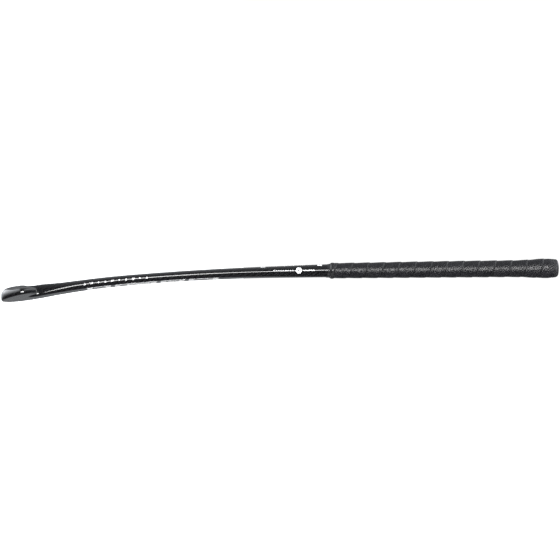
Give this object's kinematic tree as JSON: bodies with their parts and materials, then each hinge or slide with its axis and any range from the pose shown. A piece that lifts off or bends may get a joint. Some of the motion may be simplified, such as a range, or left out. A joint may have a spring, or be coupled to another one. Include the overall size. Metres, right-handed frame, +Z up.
{
  "type": "field hockey stick",
  "caption": "Adult composite field hockey stick with a hooked head, a bowed shaft with a flat playing face and a wrapped grip.",
  "frame": {"origin": "centre of the bounding box in X and Y, at the sole of the head", "axes": "+Z up along the handle from the sole to the butt, +X out of the flat playing face, toe towards -Y"},
  "size_m": [0.0718, 0.1188, 0.9525],
  "materials": {
    "laminate": "clear lacquered black carbon laminate, high gloss",
    "inner_laminate": "raw carbon and epoxy, satin",
    "foam": "rigid closed cell foam",
    "elastomer": "dull elastomer sheet",
    "plug": "plain turned softwood",
    "cap": "smooth satin moulded rubber",
    "tape": "thin adhesive foam tape",
    "grip": "tacky grained polyurethane wrap",
    "gloss_tape": "glossy black vinyl tape",
    "decal": "white printed film under lacquer",
    "badge": "white domed resin badge"
  },
  "bodies": {
    "root": {"outer_skin": "laminate", "toe_side_tube": "inner_laminate", "heel_side_tube": "inner_laminate", "toe_side_foam": "foam", "heel_side_foam": "foam", "head_core": "foam", "touch_layer": "elastomer", "butt_plug": "plug", "butt_cap": "cap", "grip_base_tape": "tape", "grip_wrap": "grip", "finishing_tape": "gloss_tape", "face_decal": "decal", "edge_decal": "decal", "back_decal": "decal", "badge": "badge"}
  },
  "joints": []
}
